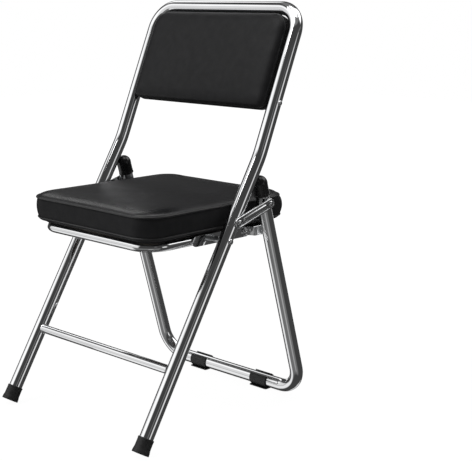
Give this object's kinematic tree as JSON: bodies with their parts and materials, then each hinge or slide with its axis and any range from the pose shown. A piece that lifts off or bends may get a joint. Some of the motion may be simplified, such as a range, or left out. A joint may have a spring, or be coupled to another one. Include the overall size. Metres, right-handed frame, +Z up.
{
  "type": "padded folding chair",
  "caption": "Folding chair with chromed tube frames, a thick padded seat and a padded back, which folds flat on a four-bar linkage.",
  "frame": {"origin": "on the floor, in the middle of the chair's footprint", "axes": "+Z up, +Y to the rear of the chair, +X to the sitter's left"},
  "size_m": [0.442, 0.4654, 0.7979],
  "materials": {
    "chrome_tube": "polished chrome plate on steel tube",
    "chrome_strip": "chrome plate on pressed strip",
    "rivet": "satin chrome rivet",
    "zinc": "zinc-plated steel",
    "plywood": "black-stained plywood",
    "seat_cover": "black vinyl-coated fabric, satin, fine grain",
    "back_cover": "black vinyl-coated fabric, satin, fine grain",
    "rubber": "moulded black rubber",
    "saddle_plastic": "matte black moulded plastic",
    "cap_plastic": "glossy black moulded plastic"
  },
  "bodies": {
    "main": {"main_frame_tube": "chrome_tube", "front_crossbar": "chrome_tube", "foot_cap_left": "rubber", "foot_cap_right": "rubber", "back_pad": "back_cover", "back_board": "plywood", "back_cover": "back_cover", "back_pad_bolt_left": "zinc", "back_pad_bolt_right": "zinc", "seat_pivot_rivet_left": "rivet", "seat_pivot_rivet_right": "rivet", "seat_pivot_spacer_left": "zinc", "seat_pivot_spacer_right": "zinc", "link_front_rivet_left": "rivet", "link_front_rivet_right": "rivet", "link_front_washer_left": "zinc", "link_front_washer_right": "zinc"},
    "seat": {"seat_frame_tube": "chrome_tube", "seat_board": "plywood", "seat_cushion": "seat_cover", "seat_front_strap": "zinc", "seat_rear_strap": "zinc", "seat_bracket_left": "chrome_strip", "seat_bracket_right": "chrome_strip", "strap_bolt_left": "zinc", "strap_bolt_right": "zinc", "board_screw_1": "zinc", "board_screw_2": "zinc", "board_screw_3": "zinc", "board_screw_4": "zinc"},
    "rear": {"rear_frame_tube": "chrome_tube", "rear_tube_cap_left": "cap_plastic", "rear_tube_cap_right": "cap_plastic", "rear_saddle_left": "saddle_plastic", "rear_saddle_right": "saddle_plastic", "rear_lug_left": "chrome_strip", "rear_lug_right": "chrome_strip", "seat_rear_bolt_left": "zinc", "seat_rear_bolt_right": "zinc", "link_rear_rivet_left": "rivet", "link_rear_rivet_right": "rivet", "link_rear_washer_left": "zinc", "link_rear_washer_right": "zinc"},
    "link_left": {"stay_link_left": "chrome_strip", "link_rivet_head_left": "rivet"},
    "link_right": {"stay_link_right": "chrome_strip", "link_rivet_head_right": "rivet"}
  },
  "joints": [
    {"name": "seat_fold", "type": "hinge", "parent": "main", "child": "seat", "pos_m": [0, -0.00173, 0.36319], "axis": [-1, 0, 0], "range_deg": [0, 111.9]},
    {"name": "rear_fold", "type": "hinge", "parent": "seat", "child": "rear", "pos_m": [0, 0.08267, 0.36469], "axis": [1, 0, 0], "range_deg": [0, 64.81]},
    {"name": "link_left_fold", "type": "hinge", "parent": "main", "child": "link_left", "pos_m": [0.2, 0.01859, 0.39647], "axis": [-1, 0, 0], "range_deg": [0, 103.2]},
    {"name": "link_right_fold", "type": "hinge", "parent": "main", "child": "link_right", "pos_m": [-0.2, 0.01859, 0.39647], "axis": [-1, 0, 0], "range_deg": [0, 103.2]}
  ],
  "couplings": [
    {"joint": "rear_fold", "follows": "seat_fold", "ratio": 0.57913},
    {"joint": "link_left_fold", "follows": "seat_fold", "ratio": 0.92215},
    {"joint": "link_right_fold", "follows": "seat_fold", "ratio": 0.92215}
  ]
}
